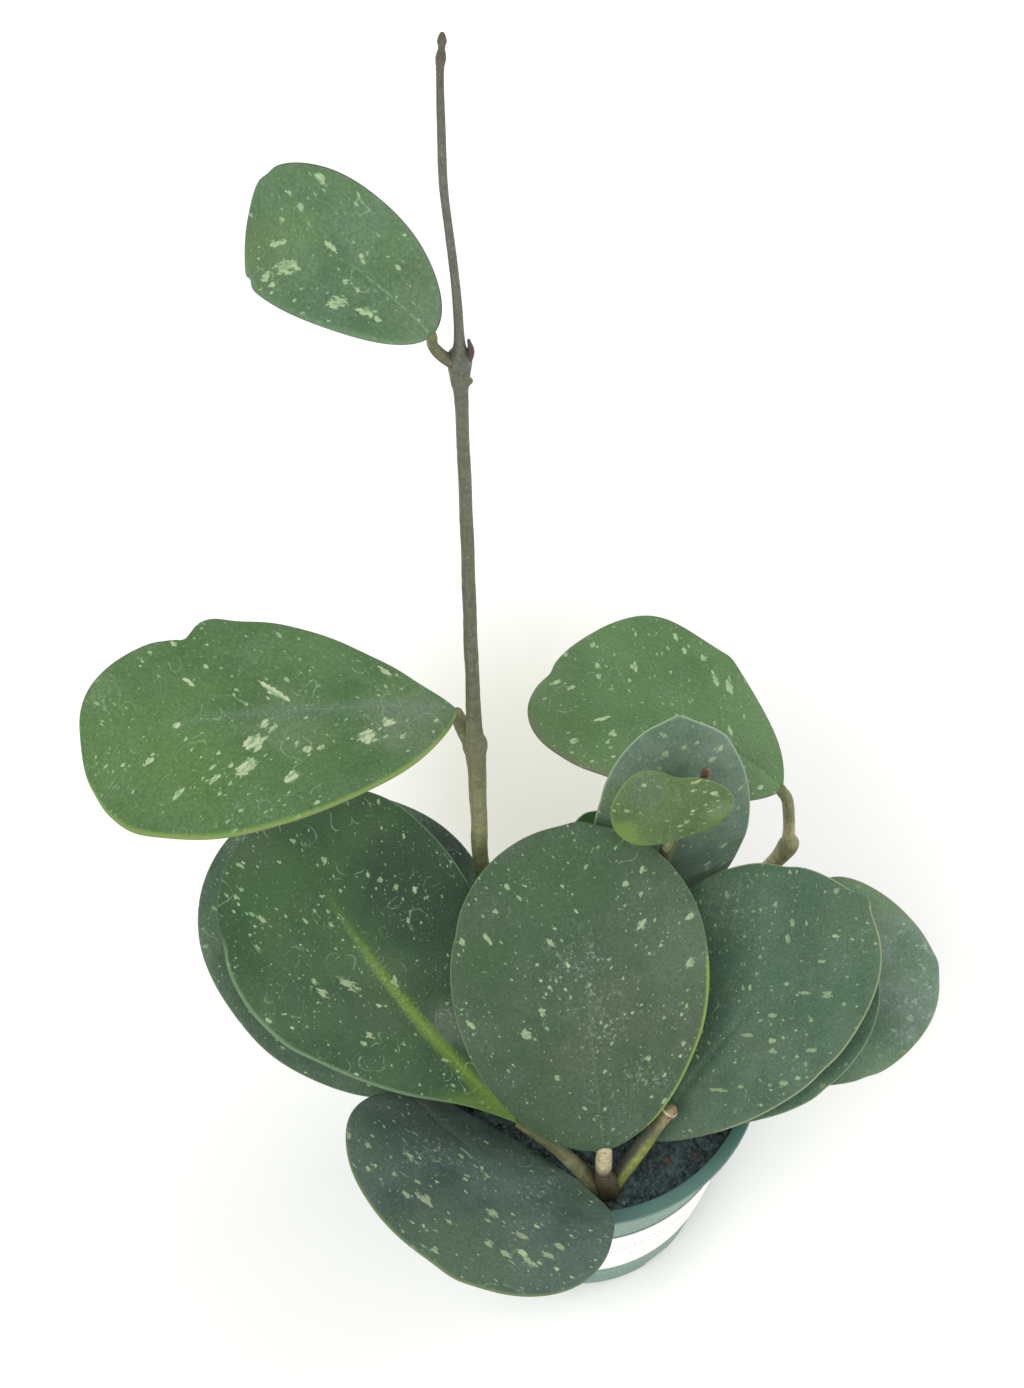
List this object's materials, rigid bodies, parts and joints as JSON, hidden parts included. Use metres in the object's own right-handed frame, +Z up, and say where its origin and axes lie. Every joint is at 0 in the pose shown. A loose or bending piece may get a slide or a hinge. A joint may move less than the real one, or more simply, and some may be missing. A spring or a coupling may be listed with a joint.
{
  "type": "potted hoya plant",
  "caption": "Round-leaved climbing hoya with flecked fleshy leaves and one tall bare-tipped vine, growing in a small round teal nursery pot with a blank label band.",
  "frame": {"origin": "centre of the pot's underside, which rests on the surface", "axes": "+Z up along the pot's axis; -Y is the front, towards the front leaf; +X is to the right seen from the front, away from the tall vine"},
  "size_m": [0.2349, 0.1896, 0.45],
  "materials": {
    "pot_plastic": "moulded teal plastic, slightly translucent wall",
    "label_paper": "matt white film label, bare",
    "soil": "loose dark bark and peat mix with pale grains",
    "stem": "semi-woody, olive to brown, matt",
    "vine": "grey-olive to purplish brown bark, matt, speckled",
    "leaf": "fleshy leaf, satin, dark green with cream flecks",
    "leaf_bright": "fleshy leaf, satin, mid green with cream flecks",
    "leaf_dark": "fleshy leaf, satin, bluish dark green with small flecks",
    "leaf_young": "young leaf, satin, yellow-green"
  },
  "bodies": {
    "root": {"pot": "pot_plastic", "label": "label_paper", "soil": "soil", "stem_vine": "vine", "stem_crown": "stem", "stem_right": "stem", "stem_centre": "stem", "stem_left_under": "stem", "stem_rim_front": "stem", "stem_right_middle": "stem", "stem_right_lower": "stem", "leaf_vine_top": "leaf_bright", "leaf_vine_low": "leaf_bright", "leaf_left_upper": "leaf", "leaf_left_under": "leaf_dark", "leaf_front": "leaf", "leaf_rim_front": "leaf_dark", "leaf_right_upper": "leaf", "leaf_right_middle": "leaf", "leaf_right_lower": "leaf", "leaf_back_right": "leaf_bright", "leaf_back_upright": "leaf_dark", "leaf_young": "leaf_young", "leaf_hidden": "leaf_bright"}
  },
  "joints": []
}
